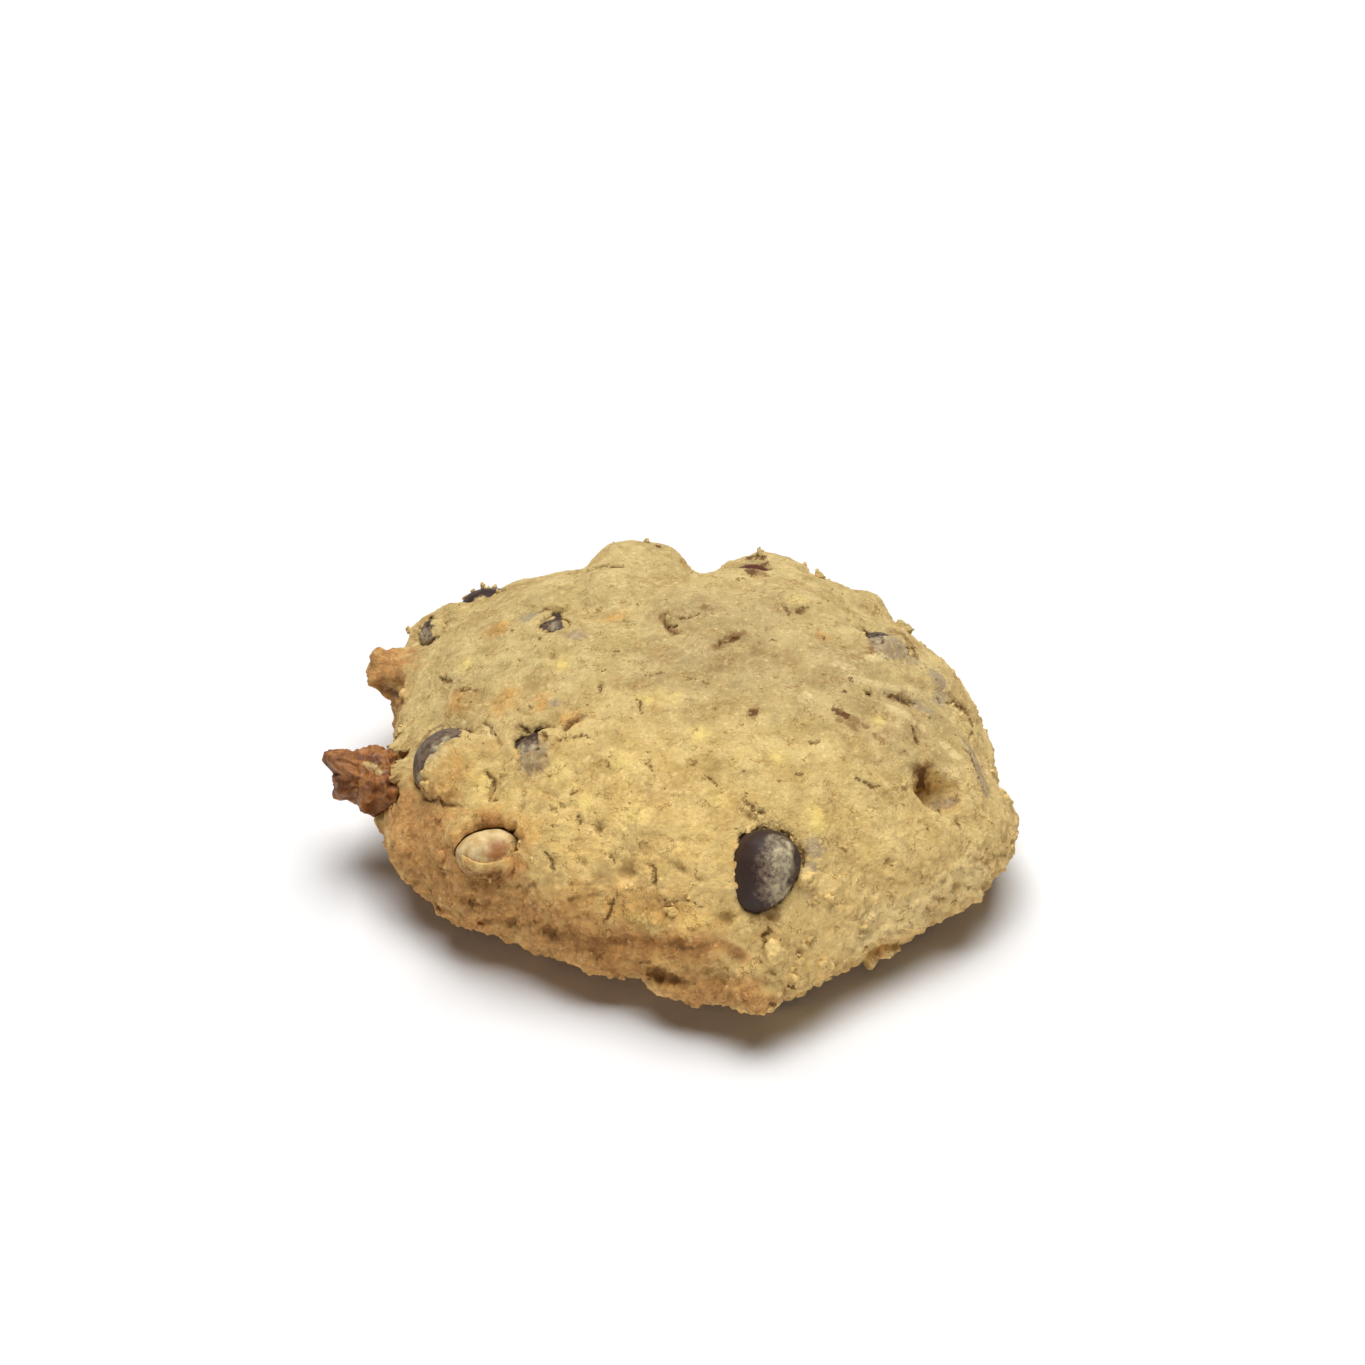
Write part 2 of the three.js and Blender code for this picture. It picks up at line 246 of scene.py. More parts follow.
# Pits in the photograph: radius, depth and pixel
PITS = [
    (1.0, 0.7, (627, 872)), (0.5, 0.4, (583, 863)), (0.6, 0.5, (598, 829)), (0.7, 0.4, (521, 806)),
    (0.6, 0.4, (552, 656)), (0.9, 0.6, (726, 918)), (0.7, 0.6, (439, 872)), (0.8, 0.7, (470, 905)),
    (0.9, 0.8, (512, 923)), (1.1, 1.0, (547, 935)), (0.8, 0.6, (598, 959)), (1.0, 1.0, (657, 974)),
    (0.6, 0.5, (674, 979)), (0.6, 0.4, (958, 821)), (0.7, 0.5, (956, 887)),
    (0.5, 0.4, (889, 862)), (0.4, 0.3, (775, 656)), (0.4, 0.3, (801, 613)), (0.4, 0.3, (804, 865)),
    (0.4, 0.3, (823, 871)), (0.4, 0.3, (500, 665)), (0.4, 0.3, (622, 720)), (0.4, 0.2, (760, 735)),
    (0.4, 0.3, (850, 620)), (0.4, 0.3, (684, 840)), (0.4, 0.3, (700, 880)), (0.4, 0.3, (684, 676)),
    (0.6, 0.4, (800, 953)), (0.9, 0.5, (919, 772)), (0.3, 0.3, (624, 602)), (0.5, 0.4, (570, 900)),
    (0.4, 0.3, (648, 763)), (0.7, 0.5, (615, 565)), (0.7, 0.6, (772, 916)),
]

# Broad shapes: radius, height, then the photo pixels that each passes; a negative height is a dent
SHAPES = [
    (2.2, -2.2, (704, 571)),
    (2.0, -1.4, (894, 611)),
    (1.0, -0.9, (753, 575)),
    (2.5, 1.0, (402, 850), (408, 866)),
    (3.0, -0.8, (957, 905)),
    (1.8, 1.2, (458, 613)),
    (1.2, 0.7, (900, 694)),
    (1.1, 0.6, (877, 708), (903, 714), (912, 730)),
    (1.4, -0.5, (913, 703)),
    (1.4, -0.5, (920, 738)),
    (1.2, 0.5, (945, 706), (955, 716)),
    (1.5, -0.7, (958, 704), (968, 716)),
    (1.0, 0.5, (807, 876)),
    (1.0, 0.6, (773, 952)),
    (2.0, -0.5, (800, 950)),
    (1.2, 0.7, (923, 762)),
    (1.6, 0.6, (462, 842), (476, 826), (490, 820), (510, 826)),
    (1.5, -0.4, (735, 585), (752, 592)),
    (1.6, 0.9, (674, 622), (682, 626)),
    (1.3, 0.3, (726, 644), (734, 640)),
    (1.6, 0.4, (700, 648), (715, 655)),
    (1.8, 0.4, (600, 590), (640, 585)),
    (2.2, -0.4, (590, 610), (612, 603)),
    (1.4, 0.4, (570, 728), (580, 722)),
    (2.5, -0.5, (780, 700), (790, 730)),
    (1.6, 0.4, (846, 700), (858, 706)),
    (1.1, 0.6, (380, 657), (392, 654)),
    (1.7, 0.5, (452, 866), (464, 880), (482, 887), (500, 885), (515, 874)),
    (0.6, 0.5, (378, 656)),
    (0.8, -0.4, (369, 664)),
    (0.7, 0.6, (373, 682)),
    (0.8, -0.5, (391, 692)),
    (1.2, 0.5, (938, 808)),
    (2.0, 0.9, (716, 994)),
    (1.0, -0.5, (690, 1003)),
    (0.9, -0.6, (745, 1011)),
    (1.0, 0.5, (765, 1006)),
    (0.9, 0.35, (850, 677), (875, 685), (890, 690)),
    (0.9, -0.35, (885, 694), (900, 700), (915, 704)),
    (0.9, 0.35, (925, 700), (945, 720), (955, 740)),
    (0.8, -0.35, (918, 715), (930, 735)),
    (0.8, -0.3, (960, 720), (975, 750)),
    (1.2, 0.4, (610, 928), (632, 919), (655, 925)),
    (1.0, 0.35, (672, 920), (690, 926), (706, 921)),
    (1.1, 0.3, (728, 934), (744, 929)),
    (0.9, -0.35, (600, 938), (618, 943), (636, 936)),
    (0.8, -0.3, (658, 948), (676, 941), (694, 950)),
    (1.0, 0.3, (640, 958), (660, 952)),
    (1.0, 0.3, (698, 961), (718, 956)),
    (0.8, -0.3, (735, 962), (750, 958)),
    (0.9, -0.45, (662, 975), (680, 981)),
    (0.8, -0.3, (706, 974), (722, 984)),
]

# Patches of colour: radius, then the photo pixels that each passes
PATCHES = {
    "yellow": [
        (1.6, (466, 663)), (1.6, (560, 665)), (1.5, (647, 700), (672, 698)), (1.3, (586, 802)),
        (1.6, (478, 782)), (1.6, (633, 814)), (1.5, (817, 812), (818, 828)), (1.4, (799, 597)),
        (1.3, (777, 756)), (1.4, (700, 735)), (1.6, (620, 760)), (1.4, (560, 770)), (1.6, (720, 800)),
        (1.3, (880, 720)), (0.8, (628, 920), (650, 924)), (0.8, (684, 924), (704, 921)),
    ],
    "orange": [
        (2.4, (502, 702)), (1.8, (457, 702)), (1.6, (541, 704)), (1.8, (496, 630)), (1.6, (615, 618)),
        (2.4, (441, 784)), (2.6, (452, 768)), (1.4, (570, 718)),
        (2.0, (457, 847), (488, 824), (527, 836)), (1.2, (822, 636)), (4.0, (690, 940)),
        (3.0, (600, 945), (700, 948)), (3.0, (580, 900)), (3.0, (620, 905), (665, 912)),
    ],
    "toast": [
        (4.5, (378, 655), (386, 690)), (5.0, (412, 850), (460, 890), (540, 930), (620, 965)),
        (4.0, (400, 810), (430, 830)), (2.5, (680, 985), (760, 1005)), (2.0, (672, 992), (705, 1004)),
        (1.6, (488, 823)), (1.6, (560, 936), (640, 946), (700, 948)),
        (0.8, (700, 949), (722, 944), (742, 956)),
        (2.0, (458, 870), (472, 876), (486, 879), (500, 877), (514, 868)),
    ],
    "pale": [
        (0.6, (850, 677), (875, 684), (893, 689)), (0.9, (900, 693), (914, 691)),
        (0.6, (890, 707), (906, 713)), (0.6, (914, 722), (922, 728)), (0.7, (945, 746), (957, 756)),
        (0.9, (808, 876), (808, 890)), (0.8, (838, 662), (850, 668)), (0.5, (742, 898), (735, 890)),
        (0.8, (806, 697)), (0.6, (443, 751)), (0.6, (490, 731), (496, 737)),
        (0.7, (868, 658), (880, 656)), (1.1, (948, 774), (950, 789)),
        (3.2, (870, 935), (930, 908), (972, 880)),
    ],
    "smear": [
        (2.0, (531, 757)), (1.4, (814, 848)), (1.2, (530, 617)), (1.3, (576, 634)), (0.8, (555, 704)),
        (1.8, (430, 750)), (2.2, (886, 645), (904, 648)), (0.9, (812, 866)), (0.9, (395, 690)),
        (0.9, (934, 672), (942, 690), (938, 702)), (1.1, (968, 745), (986, 790)),
        (0.6, (916, 704), (930, 712)), (0.7, (936, 805), (955, 801)),
    ],
    "shade": [
        (7.0, (700, 672), (750, 668)), (8.0, (830, 672)), (7.0, (900, 715)),
        (5.0, (690, 610), (760, 610)),
    ],
    "grain": [
        (0.8, (818, 812), (819, 828)), (0.6, (777, 757)), (0.7, (586, 802)), (0.5, (466, 663)),
        (0.6, (562, 665)), (0.6, (650, 700)), (0.5, (633, 815)), (0.5, (478, 780)), (0.5, (880, 720)),
        (0.5, (700, 735)),
    ],
    # Brown burnt marks and painted shade: the shadows in the gaps round chips, under the nut's lip and
    # under the front chip, along cracks, on the pit's wall and in grooves below ledges
    "burn_and_painted_shade": [
        (1.0, (922, 768), (924, 790)), (0.7, (753, 713)), (0.8, (664, 616), (668, 626), (678, 633)),
        (0.7, (706, 608)),
        (0.3, (416, 783), (414, 765), (417, 750), (423, 740), (431, 731), (440, 726), (452, 729)),
        (0.6, (718, 648), (724, 642), (742, 633)),
        (0.7, (457, 850), (462, 842), (472, 833), (486, 826), (500, 827), (508, 833), (520, 839)),
        (1.1, (757, 914), (775, 916)), (0.6, (518, 727), (545, 737)), (0.7, (650, 972), (668, 978)),
        (1.1, (555, 934), (600, 946)), (0.7, (570, 724), (583, 716)), (0.8, (745, 568), (765, 574)),
        (0.9, (466, 872), (482, 877), (500, 876)), (0.5, (606, 940), (624, 942)),
        (0.5, (670, 943), (688, 947)), (0.5, (664, 976), (682, 981)), (0.5, (840, 713), (866, 726)),
        (0.4, (838, 720), (856, 728)), (0.4, (875, 736), (883, 740)),
        (0.5, (870, 652), (872, 642), (880, 634), (892, 631), (904, 635)),
        (0.25, (905, 636), (913, 645), (918, 657)),
    ],
    "speck": [
        (0.6, (793, 987)), (0.5, (772, 1006)), (0.55, (753, 713)), (0.65, (751, 572)),
        (0.35, (748, 558), (763, 557)), (0.3, (762, 566), (768, 563)), (0.35, (845, 691)),
        (0.35, (851, 680)), (0.4, (658, 546)), (0.35, (834, 710), (847, 716)),
        (0.6, (922, 772), (922, 786)),
    ],
    "coat": [
        (3.3, (454, 770)), (2.6, (464, 754)), (1.4, (438, 792)), (2.6, (552, 766)), (1.4, (511, 760)),
        (1.0, (548, 742)), (1.0, (468, 735)), (0.8, (536, 632)), (1.0, (428, 619)), (0.8, (420, 796)),
        (0.8, (438, 630)), (1.6, (530, 778)), (0.6, (538, 618), (550, 618)),
        (0.9, (568, 610), (570, 628)), (1.2, (440, 622)), (1.2, (442, 640)), (1.0, (424, 618)),
        (1.2, (465, 606), (480, 601), (497, 596)), (0.45, (735, 846)), (0.45, (733, 865)),
        (0.35, (736, 886)), (0.4, (797, 884)),
        (1.2, (456, 862), (470, 869), (485, 872), (500, 870), (514, 861)),
        (1.2, (463, 870), (475, 876), (488, 878)), (0.9, (517, 848)), (1.0, (416, 792), (425, 800)),
    ],
    "dust": [
        (1.6, (783, 848), (784, 868)), (1.2, (778, 882), (782, 896)), (0.7, (368, 764), (377, 770)),
        (0.5, (491, 588)), (1.2, (894, 640)), (1.2, (422, 640)), (0.6, (424, 768)), (0.6, (436, 748)),
        (0.9, (522, 752)), (0.5, (446, 740)), (0.5, (419, 778)), (1.2, (536, 750)), (0.9, (877, 641)),
        (0.5, (552, 627)),
    ],
    "bloom": [
        (1.5, (770, 862), (770, 895)), (2.4, (419, 786), (420, 762), (433, 742), (452, 732)),
        (2.4, (528, 750)), (2.6, (896, 640)), (1.6, (424, 634)), (1.4, (876, 640)), (1.4, (552, 625)),
    ],
}

# Stains, with painted shade among them: size of the ragged edge, where on its mask each starts and is
# full, sway, colour and share
STAINS = {
    "shade": (2.0, 0.0, 1.0, 0.7, (160, 136, 98), 0.34),
    "orange": (1.2, 0.1, 1.2, 1.0, (206, 146, 70), 0.55),
    "yellow": (0.9, 0.1, 1.1, 1.0, (236, 210, 128), 0.4),
    "pale": (0.5, 0.1, 0.9, 0.9, (234, 210, 152), 0.5),
    "smear": (0.6, 0.15, 0.9, 1.0, (156, 142, 120), 0.7),
    "grain": (0.4, 0.2, 0.8, 0.7, (238, 208, 122), 0.6),
    # burnt brown, partly painted shade
    "burn_and_painted_shade": (0.6, 0.1, 1.0, 1.0, (126, 86, 46), 0.65),
    "speck": (0.35, 0.2, 0.7, 1.1, (98, 58, 32), 0.85),
    # painted shade in the cracks
    "crack": (0.35, 0.6, 0.95, 0.55, (100, 66, 29), 0.85),
    "bloom": (0.5, 0.2, 1.3, 1.2, (148, 126, 102), 0.58),
    "roast": (0.9, 0.0, 1.1, 0.6, (152, 90, 38), 0.95),
}

# Chips and nuts: size and height of their relief, and the pixels round what shows of the nuts
CHIPS = [
    "chip_front", "chip_left", "chip_middle", "chip_back",
    "chip_right", "chip_rim", "chip_edge", "chip_lobe",
]
RED_CHIP = "chip_lobe"
CHOCOLATE, RED_CHOCOLATE = (52, 38, 33), (80, 40, 29)
CHOCOLATE_LIGHTER = 1.25  # its light mottle against its dark
CHOCOLATE_ROUGHNESS, POWDER_ROUGHNESS = 0.5, 0.85
CHIP_SWELL, NUT_SWELL = (1.6, 0.08), (3.0, 0.15)
WALNUT_RIDGES = [(2.6, 0.45), (1.2, 0.2), (0.6, 0.08)]
WALNUT_SHARPNESS = 2.5
WALNUT_RIDGE_MEAN = 0.3
WALNUT_OUTLINE = [
    (320, 757), (327, 751), (339, 747), (348, 751), (362, 747), (384, 745), (400, 760), (405, 785),
    (395, 810), (378, 818), (364, 815), (354, 806), (343, 801), (330, 799), (329, 788), (328, 772),
]
NUT_OUTLINE = [
    (457, 852), (462, 842), (470, 835), (480, 831), (490, 829), (501, 829), (511, 833), (518, 843),
    (519, 856), (513, 870), (498, 878), (480, 879), (466, 874), (459, 864),
]
ROAST_SPOT = (1.5, (499, 852))  # radius and photo pixel


def linear(r, g, b):
    """A colour given as 0 to 255 sRGB, for a shader."""
    def one(c):
        c /= 255
        return c / 12.92 if c <= 0.04045 else ((c + 0.055) / 1.055) ** 2.4
    return (one(r), one(g), one(b), 1.0)


def smoothstep(low, high, value):
    t = np.clip((value - low) / (high - low), 0, 1)
    return t * t * (3 - 2 * t)


def noise_at(points, size, shift=0.0):
    """Smooth noise with features of that size at each point."""
    return np.array([noise.noise(p) for p in (points / size + shift).tolist()])


def swirl_at(points, size):
    """Smooth sideways shifts that vary over that size."""
    return np.array([noise.noise_vector(p) for p in (points / size).tolist()])


def lumps_at(points, size):
    """Crumb lumps of that size, flat on top, with grooves between them."""
    gaps = [noise.voronoi(p)[0] for p in (points / size).tolist()]
    from_groove = np.array([second - first for first, second, _, _ in gaps])
    return smoothstep(0.0, GROOVE_WIDTH, from_groove) - LUMP_MEAN


def puffs_at(points, size, shift=0.0):
    """Rounded puffs of that size with creases between them."""
    return 2 * np.abs(noise_at(points, size, shift)) - PUFF_MEAN


# Meshes
class Surface:
    """Points in millimetres, faces that join them, and masks that the material reads."""

    def __init__(self, points, faces):
        self.points = points
        self.faces = faces
        self.masks = {}

    def normals(self):
        """The way that the surface faces at each point."""
        corners = self.points[self.faces]
        sides = self.faces.shape[1]
        one_way = corners[:, sides - 2] - corners[:, 0]
        other_way = corners[:, sides - 1] - corners[:, sides - 3]
        across = np.cross(one_way, other_way)
        total = np.zeros_like(self.points)
        for corner in self.faces.T:
            for axis in range(3):
                total[:, axis] += np.bincount(corner, across[:, axis], len(self.points))
        return total / np.maximum(np.linalg.norm(total, axis=1, keepdims=True), 1e-12)

    def smooth(self, rounds):
        """Moves each point half way to the middle of its neighbours, that many times."""
        sides = self.faces.shape[1]
        pairs = np.concatenate([self.faces[:, [i, (i + 1) % sides]] for i in range(sides)])
        a, b = np.unique(np.sort(pairs, axis=1), axis=0).T
        count = len(self.points)
        degree = np.bincount(np.concatenate([a, b]), minlength=count)
        for _ in range(rounds):
            for axis in range(3):
                value = self.points[:, axis]
                total = np.bincount(a, value[b], count) + np.bincount(b, value[a], count)
                self.points[:, axis] = 0.5 * value + 0.5 * total / degree

    def push(self, distance):
        """Moves each point outwards by its distance."""
        self.points = self.points + self.normals() * np.asarray(distance)[:, None]

    def tree(self):
        return BVHTree.FromPolygons(self.points.tolist(), self.faces.tolist())

    def neighbours(self):
        tree = KDTree(len(self.points))
        for i, point in enumerate(self.points.tolist()):
            tree.insert(point, i)
        tree.balance()
        return tree

    def raise_mask(self, name, where, values):
        mask = self.masks.setdefault(name, np.zeros(len(self.points)))
        mask[where] = np.maximum(mask[where], values)

    def to_object(self, name):
        mesh = bpy.data.meshes.new(name)
        mesh.from_pydata((self.points * MM).tolist(), [], self.faces.tolist())
        mesh.polygons.foreach_set("use_smooth", np.ones(len(self.faces), bool))
        for key, values in self.masks.items():
            attribute = mesh.attributes.new(key, "FLOAT", "POINT")
            attribute.data.foreach_set("value", values.astype(np.float32))
        obj = bpy.data.objects.new(name, mesh)
        bpy.context.scene.collection.objects.link(obj)
        return obj


def arrays_of(mesh, sides):
    """A mesh's points in millimetres, and its faces, which all have that many sides."""
    points = np.empty(len(mesh.vertices) * 3)
    mesh.vertices.foreach_get("co", points)
    faces = np.empty(len(mesh.loops), int)
    mesh.loops.foreach_get("vertex_index", faces)
    return points.reshape(-1, 3) / MM, faces.reshape(-1, sides)


def node_arrays(name):
    return arrays_of(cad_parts[name].data, 3)


def unit_ball(detail):
    """Points and faces of a small round mesh."""
    work = bmesh.new()
    bmesh.ops.create_icosphere(work, subdivisions=detail, radius=1.0)
    points = np.array([vertex.co for vertex in work.verts])
    faces = np.array([[vertex.index for vertex in face.verts] for face in work.faces])
    work.free()
    return points, faces


def joined(parts):
    """One surface of several lists of points and faces."""
    starts = np.cumsum([0] + [len(points) for points, _ in parts[:-1]])
    faces = [part[1] + start for part, start in zip(parts, starts)]
    return Surface(np.concatenate([points for points, _ in parts]), np.concatenate(faces))


def largest_body(points, faces):
    """The largest of the separate bodies that the faces make."""
    label = np.arange(len(points))
    before = None
    while not np.array_equal(label, before):
        before = label.copy()
        lowest = label[faces].min(axis=1)
        for corner in faces.T:
            np.minimum.at(label, corner, lowest)
        label = label[label]
    kept = label == np.bincount(label).argmax()
    number = np.cumsum(kept) - 1
    return points[kept], number[faces[kept[faces[:, 0]]]]


def remeshed(parts, voxel):
    """The outer surface of overlapping closed parts as one even fine mesh."""
    rough = joined(parts).to_object("rough")
    remesh = rough.modifiers.new("even", "REMESH")
    remesh.mode = "VOXEL"
    remesh.voxel_size = voxel * MM
    evaluated = rough.evaluated_get(bpy.context.evaluated_depsgraph_get())
    mesh = bpy.data.meshes.new_from_object(evaluated)
    surface = Surface(*largest_body(*arrays_of(mesh, 4)))
    bpy.data.meshes.remove(rough.data)
    bpy.data.meshes.remove(mesh)
    return surface


# Places taken from the photograph
def photo_ray(pixel):
    """The direction in which the camera sees a pixel of the photograph."""
    across = (pixel[0] - IMAGE_PX / 2) / FOCAL_PX
    down = (pixel[1] - IMAGE_PX / 2) / FOCAL_PX
    return Vector(FORWARD + across * RIGHTWARD - down * UPWARD).normalized()


def photo_pixels(points):
    """The photograph's pixel for each point."""
    offset = points - CAMERA_AT
    scale = FOCAL_PX / (offset @ FORWARD)
    return IMAGE_PX / 2 + np.stack([offset @ RIGHTWARD * scale, -(offset @ UPWARD) * scale], axis=1)


def seen_at(trees, pixel):
    """The nearest point of the surfaces that the photograph shows at a pixel, or None beside them."""
    hits = [tree.ray_cast(Vector(CAMERA_AT), photo_ray(pixel)) for tree in trees]
    hits = [hit for hit in hits if hit[0] is not None]
    return np.array(min(hits, key=lambda hit: hit[3])[0]) if hits else None


def nearest_seen(surface, pixel):
    """The index of the point, facing the camera, that the photograph shows nearest to a pixel."""
    off = np.linalg.norm(photo_pixels(surface.points) - pixel, axis=1)
    off[surface.normals() @ FORWARD > 0] = np.inf
    return np.argmin(off)


def path_seen(trees, pixels):
    path = [seen_at(trees, pixel) for pixel in pixels]
    return np.array([point for point in path if point is not None])


def hidden_from_camera(tree, point, normal):
    start = Vector(point + 0.3 * normal)
    return tree.ray_cast(start, (Vector(CAMERA_AT) - start).normalized())[0] is not None


# Spots and lines on a surface
def around(points, path, reach):
    """Which points lie within reach of the box round a path."""
    low, high = path.min(0) - reach, path.max(0) + reach
    return np.flatnonzero(np.all((points > low) & (points < high), axis=1))


def distance_to_path(points, path, widths):
    """Distance from each point to a path, in units of the path's width there."""
    if len(path) == 1:
        return np.linalg.norm(points - path[0], axis=1) / widths[0]
    nearest = np.full(len(points), np.inf)
    for start, end, width in zip(path[:-1], path[1:], widths):
        along = end - start
        t = np.clip((points - start) @ along / max(along @ along, 1e-9), 0, 1)
        nearest = np.minimum(nearest, np.linalg.norm(points - start - t[:, None] * along, axis=1) / width)
    return nearest


def rounded(ratio):
    """A smooth hill of height 1 in the middle, where the ratio is 0, that ends where it is 1."""
    return np.clip(1 - ratio**2, 0, 1) ** 2


def spot(points, path, radius):
    """Which points lie near a path, and how strongly a spot of that radius along it acts on each."""
    reach = FADE_OUT * radius
    near = around(points, path, reach)
    return near, rounded(distance_to_path(points[near], path, np.full(len(path), reach)))


def sideways(normal, random):
    """A random direction along a surface that faces that way."""
    along = np.cross(normal, random.normal(size=3))
    return along / np.linalg.norm(along)


def wandering(path, tree):
    """The path in short steps that sway from side to side on the surface."""
    finer = [path[0]]
    for start, end in zip(path[:-1], path[1:]):
        count = max(1, int(np.linalg.norm(end - start) / CRACK_STEP))
        finer += [start + (end - start) * (i + 1) / count for i in range(count)]
    swayed = [p + CRACK_SWAY * np.array(noise.noise_vector(Vector(p / SWAY_SIZE))) for p in finer]
    return np.array([tree.find_nearest(Vector(p))[0] for p in swayed])


def crack_widths(path, half_width):
    """The half width along a crack: uneven, and narrow at both ends."""
    along = np.clip(np.linspace(0, 1, len(path)), 0.02, 0.98)
    taper = CRACK_TIP + (1 - CRACK_TIP) * np.sqrt(np.sin(np.pi * along))
    return half_width * taper * (1 + CRACK_UNEVEN * noise_at(path, UNEVEN_SIZE, shift=5.0))


def cut_crack(surface, depth, path, half_width, deep):
    near = around(surface.points, path, CRACK_REACH)
    ratio = distance_to_path(surface.points[near], path, crack_widths(path, half_width))
    depth[near] = np.maximum(depth[near], deep * np.clip(1 - ratio / CRACK_SLOPE, 0, 1))
    # the crack's mask: painted shade in the crack
    surface.raise_mask("crack", near, np.clip(1 - ratio / CRACK_SHADE_END, 0, 1))


def cut_pit(surface, neighbours, depth, middle, radius, deep, stretch=(0.0, 0.0, 0.0)):
    """A ragged hole, longer along the stretch."""
    found = neighbours.find_range(Vector(middle), PIT_REACH * radius)
    where = np.array([index for _, index, _ in found], int)
    offset = surface.points[where] - middle
    offset -= np.outer(offset @ np.array(stretch), stretch)
    ragged = 1 + PIT_RAGGED * noise_at(surface.points[where], RAGGED_SIZE * radius, shift=9.0)
    fall = rounded(np.linalg.norm(offset, axis=1) / (PIT_EDGE * radius) * ragged)
    depth[where] = np.maximum(depth[where], deep * fall)
    # the pit's mask: painted shade in the hole, stronger in deeper pits
    surface.raise_mask("pit", where, fall * min(1.0, deep / PIT_FULL_SHADE_DEPTH))


# Dough
def film_over(inclusion, radius, half_thickness, lift, pixel):
    """A lens of dough on an inclusion, where the photograph shows that pixel."""
    ball, faces = unit_ball(2)
    nearest = nearest_seen(inclusion, pixel)
    turn = np.array(Vector(inclusion.normals()[nearest]).to_track_quat("Z", "Y").to_matrix())
    lens = ball * (radius, radius, half_thickness) + (0, 0, lift)
    return lens @ turn.T + inclusion.points[nearest], faces


def shape_dough(surface):
    tree = surface.tree()
    height = np.zeros(len(surface.points))
    for radius, tall, *pixels in SHAPES:
        path = path_seen([tree], pixels)
        if len(path):
            near, share = spot(surface.points, path, radius)
            height[near] += tall * share
    surface.push(height)


def roughen_dough(surface):
    points, upward = surface.points, surface.normals()[:, 2]
    wall = smoothstep(*WALL_SLOPE, upward) * smoothstep(*ABOVE_UNDERSIDE, upward)
    height = sum(tall * noise_at(points, size) for size, tall in SWELLS)
    rough = ROUGH_TOP + ROUGH_WALL * wall
    height += rough * sum(tall * puffs_at(points, size, shift=17.0) for size, tall in PUFFS)
    sparse = smoothstep(-0.1, 0.35, noise_at(points, 4.0, shift=21.0))
    for size, tall in LUMPS:
        lumps = lumps_at(points + 0.5 * size * swirl_at(points, size), size)
        height += rough * tall * lumps
        # darkening of the grooves between the lumps: painted shade
        surface.raise_mask("painted_groove_shade", slice(None), sparse * smoothstep(-0.3, -0.75, lumps))
    height += wall * sum(tall * noise_at(points, size, shift=31.0) for size, tall in WALL_CRUMB)
    surface.push(height)


def hug(surface, inclusion, reach, side=None, gap_between=POCKET_GAP):
    """Draws the wall of a pocket up to the inclusion in it, all round or only on one side."""
    tree = inclusion.tree()
    middle = inclusion.points.mean(0)
    facing = surface.normals()
    for i in around(surface.points, inclusion.points, reach):
        point = surface.points[i]
        nearest, normal, _, distance = tree.find_nearest(Vector(point), reach)
        if nearest is None:
            continue
        normal = np.array(normal)
        if (point - np.array(nearest)) @ normal < 0:
            distance = -distance
        gap = gap_between + POCKET_FRAY * noise.noise(Vector(point / POCKET_FRAY_SIZE))
        pull = (distance - gap) * float(smoothstep(reach, 0.4 * reach, distance))
        pull *= float(smoothstep(0.8, 0.3, facing[i] @ normal))
        if side is not None:
            outward = point - middle
            pull *= float(smoothstep(-0.1, 0.5, outward @ np.array(side) / np.linalg.norm(outward)))
        surface.points[i] = point - pull * normal


def cut_cracks_and_pits(surface, random):
    tree = surface.tree()
    neighbours = surface.neighbours()
    normals = surface.normals()
    depth = np.zeros(len(surface.points))
    for half_width, deep, *pixels in CRACKS:
        path = path_seen([tree], pixels)
        if len(path):
            cut_crack(surface, depth, wandering(path, tree), CRACK_SHARE * half_width, CRACK_SHARE * deep)
    for start in random.choice(len(surface.points), HIDDEN_CRACK_TRIES):
        point, normal = surface.points[start], normals[start]
        if hidden_from_camera(tree, point, normal):
            bend = point + random.uniform(*HIDDEN_CRACK_LENGTH) * sideways(normal, random)
            path = np.array([point, bend, bend + HIDDEN_CRACK_BEND * random.normal(size=3)])
            half_width = random.uniform(*HIDDEN_CRACK_HALF_WIDTH)
            cut_crack(surface, depth, wandering(path, tree), half_width, HIDDEN_CRACK_DEPTH)
    for radius, deep, pixel in PITS:
        middle = seen_at([tree], pixel)
        if middle is not None:
            cut_pit(surface, neighbours, depth, middle, radius, deep)
    for lowest, highest, count, radii, stretch in SCATTERED_PITS:
        where = np.flatnonzero((normals[:, 2] > lowest) & (normals[:, 2] < highest))
        for i in random.choice(where, count):
            radius = random.uniform(*radii)
            along = sideways(normals[i], random)
            deep = PIT_DEPTH * radius
            cut_pit(surface, neighbours, depth, surface.points[i], radius, deep, stretch * along)
    surface.push(-depth)


def paint_patches(surfaces):
    """Raises the masks of the colour patches on every surface that they reach."""
    trees = [surface.tree() for surface in surfaces]
    for name, patches in PATCHES.items():
        for radius, *pixels in patches:
            path = path_seen(trees, pixels)
            if len(path) == 0:
                continue
            for surface in surfaces:
                surface.raise_mask(name, *spot(surface.points, path, radius))


